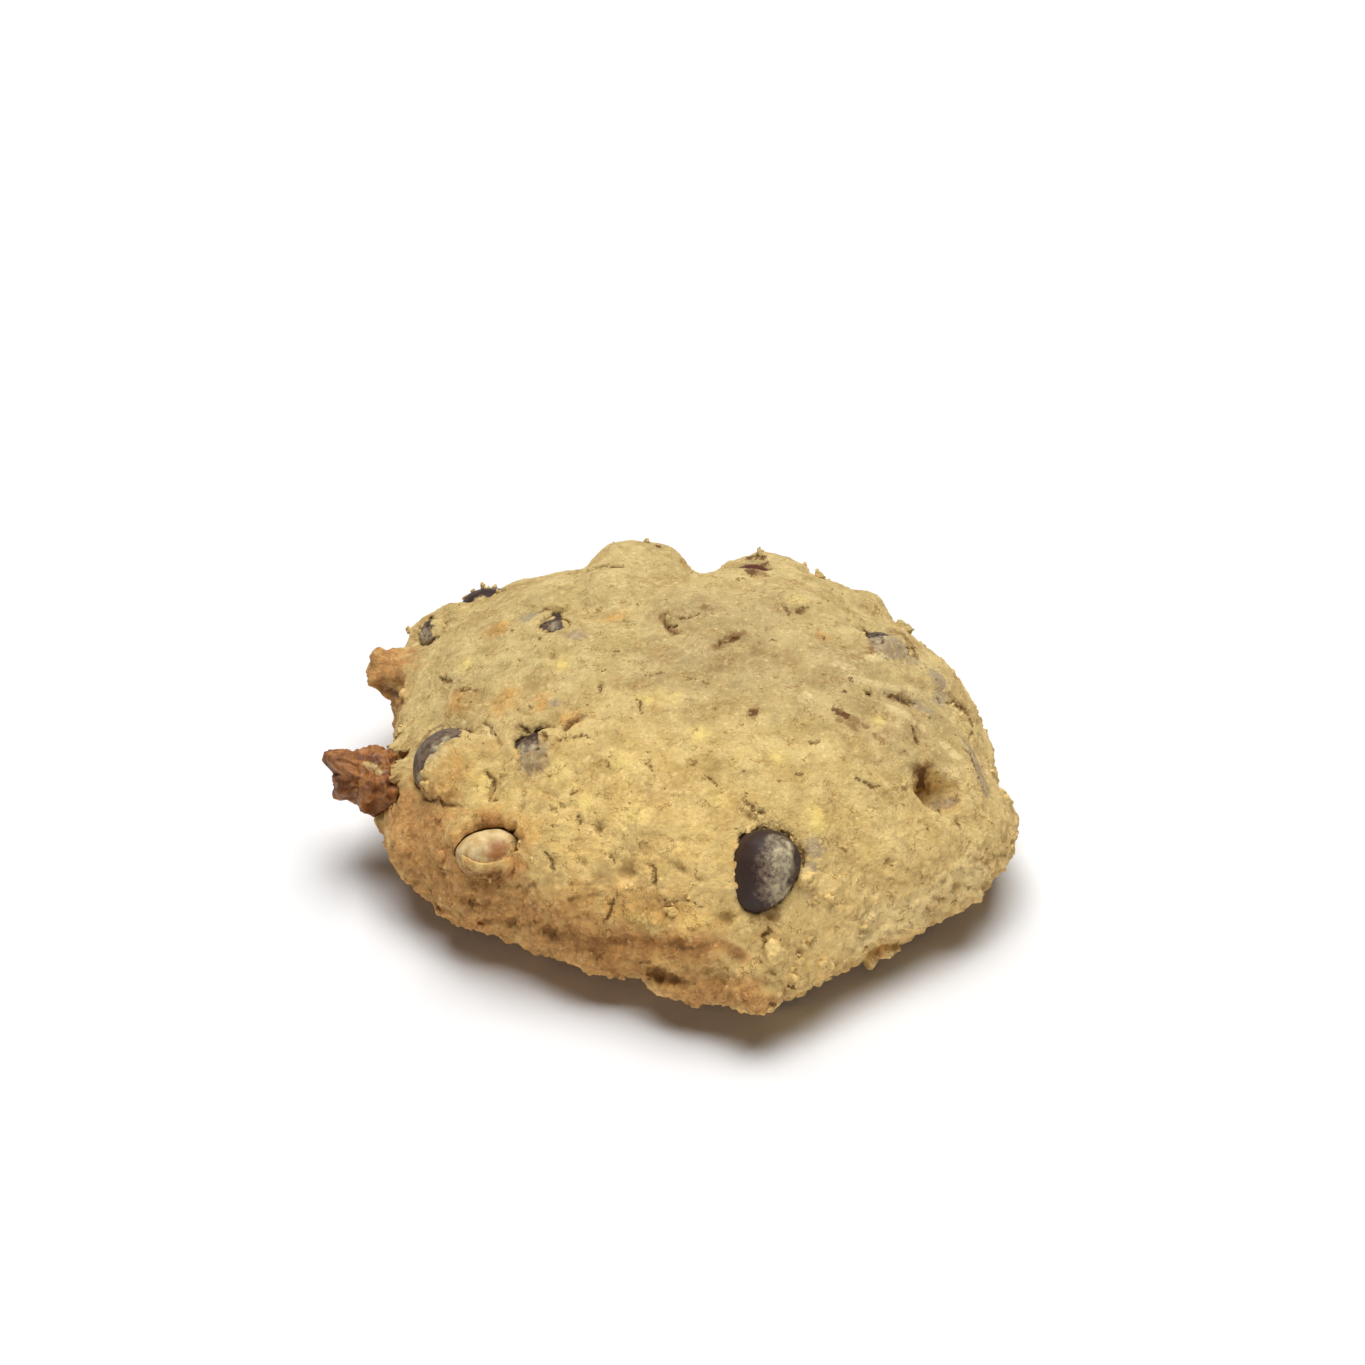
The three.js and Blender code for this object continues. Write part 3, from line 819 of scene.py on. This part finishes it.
def paint_baking(surface):
    """Masks for the steeper sides, lightened by painted light, the browning of the walls and the
    underside, and the gold front with paler right and back, partly baked colour and partly painted light.
    """
    x, y, z = surface.points.T
    upward = surface.normals()[:, 2]
    every = slice(None)
    low, left = smoothstep(*BROWN_LOW, z), smoothstep(*BROWN_LEFT, x)
    right, back = smoothstep(*PALE_RIGHT, x), smoothstep(*PALE_BACK, y)
    uneven = noise_at(surface.points, BROWN_SIZE, shift=43.0)
    under = smoothstep(*BROWN_UNDERSIDE, upward) * (UNDERSIDE_BROWN + UNDERSIDE_UNEVEN * uneven)
    wall = smoothstep(*BROWN_WALL, upward)
    brown = LOW_BROWN * low + wall * low * (WALL_BROWN + LEFT_BROWN * left) + under
    # painted light on the steeper sides
    surface.raise_mask("steep_painted_light", every, smoothstep(*STEEP_SLOPE, upward))
    surface.raise_mask("toast", every, np.clip(brown, 0, 1))
    # gold front, partly baked colour and partly painted light, paler to the right and the back
    surface.raise_mask("golden_and_painted_light", every, (1 - RIGHT_PALE * right) * (1 - back))


# Materials
class Paint:
    """A material and short ways to add nodes to it."""

    def __init__(self, name, roughness, specular):
        self.material = bpy.data.materials.new(name)
        self.material.use_nodes = True
        self.tree = self.material.node_tree
        self.shader = self.tree.nodes["Principled BSDF"]
        self.shader.inputs["Roughness"].default_value = roughness
        self.shader.inputs["Specular IOR Level"].default_value = specular
        self.place = self.node("TexCoord").outputs["Object"]

    def link(self, value, socket):
        if isinstance(value, bpy.types.NodeSocket):
            self.tree.links.new(value, socket)
        else:
            socket.default_value = value

    def node(self, kind, **values):
        """A new node with those values or links at its inputs."""
        node = self.tree.nodes.new("ShaderNode" + kind)
        for key, value in values.items():
            self.link(value, node.inputs[key.replace("_", " ")])
        return node

    def mask(self, name):
        node = self.node("Attribute")
        node.attribute_name = name
        return node.outputs["Fac"]

    def noise(self, size, detail=2.0, rough=0.5):
        """Noise from 0 to 1 with features of that size in millimetres, that detailed and that rough."""
        scale = 1 / (size * MM)
        node = self.node("TexNoise", Vector=self.place, Scale=scale, Detail=detail, Roughness=rough)
        return node.outputs["Fac"]

    def voronoi(self, size):
        """A node with lumps of that size in millimetres, and a random shade for each."""
        node = self.node("TexVoronoi", Vector=self.place, Scale=1 / (size * MM))
        return node, self.node("SeparateColor", Color=node.outputs["Color"]).outputs["Red"]

    def cells(self, size):
        """The random shades of soft lumps of that size in millimetres."""
        node, shade = self.voronoi(size)
        node.feature = "SMOOTH_F1"
        node.inputs["Detail"].default_value = 1.0
        node.inputs["Smoothness"].default_value = 0.3
        return shade

    def creases(self, size, width):
        """Short wandering lines, that far apart."""
        value = self.noise(size, 4.0, 0.6)
        rise = self.between(value, 0.5 - width, 0.5)
        fall = self.between(value, 0.5, 0.5 + width, 1.0, 0.0)
        broken = self.between(self.noise(size / 2), 0.46, 0.56)
        return self.math("MULTIPLY", self.math("MULTIPLY", rise, fall), broken)

    def dots(self, size, radius):
        """Scattered ragged dots, about that far apart; the radius is a share of the size."""
        node, shade = self.voronoi(size)
        sway = 0.6 * radius
        uneven = self.between(self.noise(0.2 * size), *NOISE_SPAN, -sway, sway)
        distance = self.math("ADD", node.outputs["Distance"], uneven)
        dot = self.between(distance, 0.6 * radius, radius, 1.0, 0.0)
        return self.math("MULTIPLY", dot, self.between(shade, 0.5, 0.7))

    def between(self, value, low, high, to_low=0.0, to_high=1.0):
        """The value's place between low and high, eased at both ends."""
        node = self.node(
            "MapRange", Value=value, From_Min=low, From_Max=high, To_Min=to_low, To_Max=to_high
        )
        node.interpolation_type = "SMOOTHSTEP"
        return node.outputs["Result"]

    def math(self, operation, a, b):
        node = self.node("Math")
        node.operation = operation
        self.link(a, node.inputs[0])
        self.link(b, node.inputs[1])
        return node.outputs["Value"]

    def ragged(self, name, size, low, high, sway):
        """A mask with its edge broken up by noise of that size."""
        uneven = self.between(self.noise(size, 4.0, 0.6), *NOISE_SPAN, -sway / 2, sway / 2)
        seen = self.math("MULTIPLY", uneven, self.between(self.mask(name), 0.0, 0.2))
        return self.between(self.math("ADD", self.mask(name), seen), low, high)

    def mix(self, factor, a, b, share=1.0, kind="MIX"):
        """The first colour with that share of the second where the factor is 1."""
        node = self.node("Mix")
        node.data_type = "RGBA"
        node.blend_type = kind
        self.link(factor if share == 1.0 else self.math("MULTIPLY", factor, share), node.inputs["Factor"])
        self.link(a, node.inputs["A"])
        self.link(b, node.inputs["B"])
        return node.outputs["Result"]

    def stained(self, colour, *names):
        """The colour with those stains, and the painted shade among them, on it."""
        for name in names:
            size, low, high, sway, stain, share = STAINS[name]
            colour = self.mix(self.ragged(name, size, low, high, sway), colour, linear(*stain), share)
        return colour

    def times(self, colour, value, low, high):
        """The colour made darker where the value is 0 and lighter where it is 1."""
        return self.mix(1.0, colour, self.between(value, 0.0, 1.0, low, high), kind="MULTIPLY")

    def colour(self, value):
        self.link(value, self.shader.inputs["Base Color"])

    def bump(self, height, depth, strength):
        """Adds relief of that depth in millimetres."""
        node = self.node("Bump", Height=height, Distance=depth * MM, Strength=strength)
        before = self.shader.inputs["Normal"].links
        if before:
            self.link(before[0].from_socket, node.inputs["Normal"])
        self.link(node.outputs["Normal"], self.shader.inputs["Normal"])


def dough_colour(paint):
    mottle = paint.between(paint.noise(3.2, 4.0, 0.6), 0.3, 0.7)
    # paler back and gold front: partly baked colour, partly painted light
    pale = paint.mix(mottle, linear(180, 156, 101), linear(204, 181, 125))
    golden_and_painted_light = paint.mix(mottle, linear(206, 171, 100), linear(224, 192, 122))
    colour = paint.mix(paint.mask("golden_and_painted_light"), pale, golden_and_painted_light)
    # lighter steeper sides: painted light
    colour = paint.mix(paint.mask("steep_painted_light"), colour, linear(242, 206, 137), 0.65)
    colour = paint.stained(colour, "shade", "orange", "yellow", "pale")
    colour = paint.mix(paint.dots(1.1, radius=0.2), colour, linear(240, 220, 166), 0.35)
    dark = paint.between(paint.noise(0.9, 4.0, 0.7), 0.4, 0.65)
    toasted = paint.mix(dark, linear(194, 140, 80), linear(160, 106, 60))
    colour = paint.mix(paint.ragged("toast", 1.4, 0.05, 1.0, sway=0.9), colour, toasted, 0.85)
    colour = paint.stained(colour, "smear")
    colour = paint.times(colour, paint.cells(2.2), 0.95, 1.05)
    colour = paint.times(colour, paint.cells(0.9), 0.9, 1.08)
    grainy = paint.times(colour, paint.noise(0.35, 4.0, 0.7), 0.64, 1.33)
    colour = paint.mix(paint.between(paint.noise(1.8, 3.0), 0.35, 0.65, 0.25, 1.0), colour, grainy)
    fine = paint.between(paint.noise(0.6, 5.0, 0.7), 0.52, 0.72)
    colour = paint.mix(fine, colour, linear(176, 132, 72), 0.3)
    fleck = paint.between(paint.noise(0.7, 3.0, 0.6), 0.58, 0.7)
    colour = paint.mix(fleck, colour, linear(238, 212, 150), 0.36)
    # painted shade in the grooves between the lumps
    colour = paint.mix(paint.mask("painted_groove_shade"), colour, linear(146, 104, 54), 0.35)
    # painted shade of fine creases: thin dark lines
    colour = paint.mix(paint.creases(2.2, width=0.02), colour, linear(144, 104, 52), 0.75)
    colour = paint.mix(paint.dots(1.7, radius=0.11), colour, linear(122, 82, 42), 0.75)
    # burnt marks, and painted shadows in gaps, cracks and grooves
    colour = paint.stained(colour, "grain", "burn_and_painted_shade", "speck")
    # painted shade in the pits
    pit = paint.between(paint.mask("pit"), 0.15, 1.0)
    colour = paint.mix(pit, colour, linear(124, 86, 42), 0.6)
    # painted shade along the cracks
    return paint.stained(colour, "crack")


def dough_material():
    paint = Paint("dough", roughness=0.82, specular=0.2)
    paint.colour(dough_colour(paint))
    paint.bump(paint.noise(0.8, 4.0, 0.7), depth=0.3, strength=0.6)
    paint.bump(paint.noise(0.3, 3.0, 0.6), depth=0.14, strength=0.9)
    return paint.material


def chocolate_material(name, dark):
    paint = Paint(name, CHOCOLATE_ROUGHNESS, specular=0.25)
    light = [CHOCOLATE_LIGHTER * c for c in dark]
    colour = paint.mix(paint.noise(1.5, 3.0), linear(*dark), linear(*light))
    colour = paint.stained(colour, "bloom")
    broken = paint.between(paint.noise(0.8, 5.0, 0.7), 0.35, 0.6, 0.3, 1.0)
    dust = paint.math("MULTIPLY", paint.ragged("dust", 1.0, 0.0, 1.1, sway=1.1), broken)
    colour = paint.mix(dust, colour, linear(206, 189, 152), 0.9)
    coat = paint.ragged("coat", 0.6, 0.3, 0.6, sway=0.6)
    paint.colour(paint.mix(coat, colour, dough_colour(paint)))
    powder = paint.math("MAXIMUM", dust, coat)
    roughness = paint.between(powder, 0.0, 1.0, CHOCOLATE_ROUGHNESS, POWDER_ROUGHNESS)
    paint.link(roughness, paint.shader.inputs["Roughness"])
    paint.bump(paint.noise(1.0, 3.0), depth=0.12, strength=0.4)
    paint.bump(powder, depth=0.2, strength=0.7)
    return paint.material


def nut_material():
    paint = Paint("nut", roughness=0.5, specular=0.35)
    tan = paint.between(paint.noise(1.6, 3.0), 0.4, 0.65)
    pale = paint.mix(tan, linear(216, 191, 139), linear(192, 158, 102))
    pale = paint.times(pale, paint.cells(0.9), 0.9, 1.08)
    pale = paint.stained(pale, "roast")
    coat = paint.ragged("coat", 0.6, 0.2, 0.7, sway=0.7)
    paint.colour(paint.mix(coat, pale, dough_colour(paint)))
    paint.bump(paint.noise(0.6, 4.0), depth=0.25, strength=0.6)
    paint.bump(coat, depth=0.25, strength=0.8)
    return paint.material


def walnut_material():
    paint = Paint("walnut", roughness=0.5, specular=0.3)
    fold = paint.between(paint.noise(1.6, 4.0, 0.6), 0.3, 0.7)
    colour = paint.mix(fold, linear(104, 60, 32), linear(172, 114, 60))
    fleck = paint.between(paint.noise(0.7, 3.0), 0.55, 0.75)
    colour = paint.mix(fleck, colour, linear(184, 136, 84), 0.6)
    dust = paint.ragged("dust", 0.6, 0.1, 1.1, sway=1.0)
    paint.colour(paint.mix(dust, colour, linear(214, 190, 130), 0.7))
    paint.bump(paint.noise(0.7, 4.0), depth=0.3, strength=0.7)
    return paint.material


# Pieces
def refined(name, smoothing):
    surface = remeshed([node_arrays(name)], PIECE_VOXEL)
    surface.smooth(smoothing)
    return surface


def fit_outline(surface, outline):
    """Draws a piece's outline in the photograph in or out to the pixels of its visible side."""
    middle = np.mean(outline, axis=0)

    def around_middle(pixels):
        offset = pixels - middle
        return np.arctan2(offset[:, 1], offset[:, 0]) % math.tau, np.linalg.norm(offset, axis=1)

    angle, radius = around_middle(photo_pixels(surface.points))
    turns = (angle / math.tau * OUTLINE_STEPS).astype(int)
    reach = np.zeros(OUTLINE_STEPS)
    np.maximum.at(reach, turns, radius)
    wanted_angle, wanted = around_middle(np.array(outline, float))
    steps = (np.arange(OUTLINE_STEPS) + 0.5) / OUTLINE_STEPS * math.tau
    scale = np.interp(steps, wanted_angle, wanted, period=math.tau) / reach
    scale = np.interp(angle, steps, scale, period=math.tau)
    offset = surface.points - surface.points.mean(0)
    for way in (RIGHTWARD, UPWARD):
        surface.points = surface.points + ((scale - 1) * (offset @ way))[:, None] * way


def make_chip(name):
    chip = refined(name, PIECE_SMOOTHING)
    size, tall = CHIP_SWELL
    chip.push(tall * noise_at(chip.points, size))
    return chip


def make_nut():
    nut = refined("nut", PIECE_SMOOTHING)
    size, tall = NUT_SWELL
    nut.push(tall * noise_at(nut.points, size))
    fit_outline(nut, NUT_OUTLINE)
    radius, pixel = ROAST_SPOT
    nut.raise_mask("roast", *spot(nut.points, path_seen([nut.tree()], [pixel]), radius))
    return nut


def make_walnut():
    walnut = refined("walnut", WALNUT_SMOOTHING)
    ridges = sum(
        tall * (1 - WALNUT_SHARPNESS * np.abs(noise_at(walnut.points, size, shift=8.0)))
        for size, tall in WALNUT_RIDGES
    )
    walnut.push(ridges - WALNUT_RIDGE_MEAN)
    fit_outline(walnut, WALNUT_OUTLINE)
    return walnut


def make_crumbs(surfaces, random):
    """Crumbs half sunk in the dough, thickest along its walls, and the bits that stick out."""
    crumb, bit = unit_ball(2), unit_ball(3)
    dough = surfaces["dough"]
    normals = dough.normals()
    upward = normals[:, 2]
    weight = np.where(upward < 0.5, 1.0, 0.25) * (upward > -0.6)
    loose = random.choice(len(dough.points), CRUMB_COUNT, replace=False, p=weight / weight.sum())
    crumbs = []
    for i in loose:
        size = CRUMB_SMALLEST + CRUMB_SPREAD * random.random() ** CRUMB_RARITY
        crumbs.append((crumb, size, dough, i, normals[i]))
    for name, bits in BITS.items():
        for size, pixel in bits:
            i = nearest_seen(surfaces[name], pixel)
            crumbs.append((bit, size, surfaces[name], i, surfaces[name].normals()[i]))
    lumps = []
    for (ball, ball_faces), size, surface, i, normal in crumbs:
        shift = 50.0 * random.random()
        uneven = sum(tall * noise_at(ball, width, shift) for width, tall in CRUMB_LUMPS)[:, None]
        lumpy = min(LUMP_SHARE, LUMP_HEIGHT / size)
        lump = ball * (1 + lumpy * uneven) * size * random.uniform(*CRUMB_STRETCH, 3)
        lumps.append((surface.points[i] - normal * CRUMB_SUNK * size + lump, ball_faces))
    joint = joined(lumps)
    # the crumbs take the dough's toast and its painted light on the front and the steeper sides
    for name in ("toast", "golden_and_painted_light", "steep_painted_light"):
        values = [surface.masks[name][i] for _, _, surface, i, _ in crumbs]
        joint.masks[name] = np.repeat(values, [len(points) for points, _ in lumps])
    return joint


def add_piece(surface, name, material):
    obj = surface.to_object(name)
    obj.data.materials.append(material)
    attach(obj, "root")
    return obj


def replace_node(surface, node, material):
    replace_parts(add_piece(surface, node + "_baked", material), node)


def build_cookie():
    noise.seed_set(SEED)
    random = np.random.RandomState(SEED)
    chips = {name: make_chip(name) for name in CHIPS}
    nut, walnut = make_nut(), make_walnut()
    inclusions = {**chips, "nut": nut, "walnut": walnut}
    films = [film_over(inclusions[name], *film) for name, group in FILMS.items() for film in group]
    dough = remeshed([node_arrays("dough"), *films], DOUGH_VOXEL)
    dough.smooth(DOUGH_SMOOTHING)
    shape_dough(dough)
    for surface in (dough, nut, *chips.values()):
        paint_baking(surface)
    roughen_dough(dough)
    for chip in chips.values():
        hug(dough, chip, CHIP_REACH)
    hug(dough, nut, NUT_REACH, side=NUT_LOOSE_SIDE, gap_between=NUT_GAP)
    hug(dough, nut, NUT_REACH, side=NUT_TIGHT_SIDE)
    hug(dough, walnut, WALNUT_REACH)
    cut_cracks_and_pits(dough, random)
    dough.points[:, 2] = np.maximum(dough.points[:, 2], LOWEST)
    paint_patches([dough, nut, walnut, *chips.values()])
    baked = dough_material()
    replace_node(dough, "dough", baked)
    add_piece(make_crumbs({"dough": dough, **chips}, random), "crumbs", baked)
    chocolate = chocolate_material("chocolate", CHOCOLATE)
    red = chocolate_material("red_chocolate", RED_CHOCOLATE)
    for name, chip in chips.items():
        replace_node(chip, name, red if name == RED_CHIP else chocolate)
    replace_node(nut, "nut", nut_material())
    replace_node(walnut, "walnut", walnut_material())


# Studio
def build_floor():
    mesh = bpy.data.meshes.new("floor")
    corners = [(FLOOR_HALF * x, FLOOR_HALF * y, 0) for x, y in ((-1, -1), (1, -1), (1, 1), (-1, 1))]
    mesh.from_pydata(corners, [], [(0, 1, 2, 3)])
    paint = Paint("floor", roughness=0.9, specular=0.1)
    paint.shader.inputs["Base Color"].default_value = (FLOOR_SHADE, FLOOR_SHADE, FLOOR_SHADE, 1)
    mesh.materials.append(paint.material)
    floor = bpy.data.objects.new("floor", mesh)
    bpy.context.scene.collection.objects.link(floor)


def add_softbox(name, size, power, lean, distance):
    """A rectangular light that faces the cookie, leant from straight above towards the back."""
    light = bpy.data.lights.new(name, "AREA")
    light.shape = "RECTANGLE"
    light.size, light.size_y = size
    light.energy = power
    box = bpy.data.objects.new(name, light)
    box.location = (0.0, distance * math.sin(lean), distance * math.cos(lean))
    box.rotation_euler = (-lean, 0, 0)
    box.visible_camera = False
    bpy.context.scene.collection.objects.link(box)


def build_lights():
    world = bpy.data.worlds.new("studio")
    world.use_nodes = True
    background = world.node_tree.nodes["Background"]
    background.inputs["Color"].default_value = (1, 1, 1, 1)
    background.inputs["Strength"].default_value = FILL
    bpy.context.scene.world = world
    add_softbox("key", KEY_SIZE, KEY_POWER, KEY_LEAN, KEY_DISTANCE)
    add_softbox("front", FRONT_SIZE, FRONT_POWER, FRONT_LEAN, FRONT_DISTANCE)


def build_camera():
    data = bpy.data.cameras.new("camera")
    data.lens, data.sensor_width = LENS, SENSOR
    camera = bpy.data.objects.new("camera", data)
    camera.location = Vector(CAMERA_AT * MM)
    camera.rotation_euler = (math.pi / 2 - CAMERA_ELEVATION, 0, 0)
    bpy.context.scene.collection.objects.link(camera)
    bpy.context.scene.camera = camera
    bpy.context.scene.view_settings.view_transform = "Standard"


build_camera()
build_lights()
build_floor()
build_cookie()
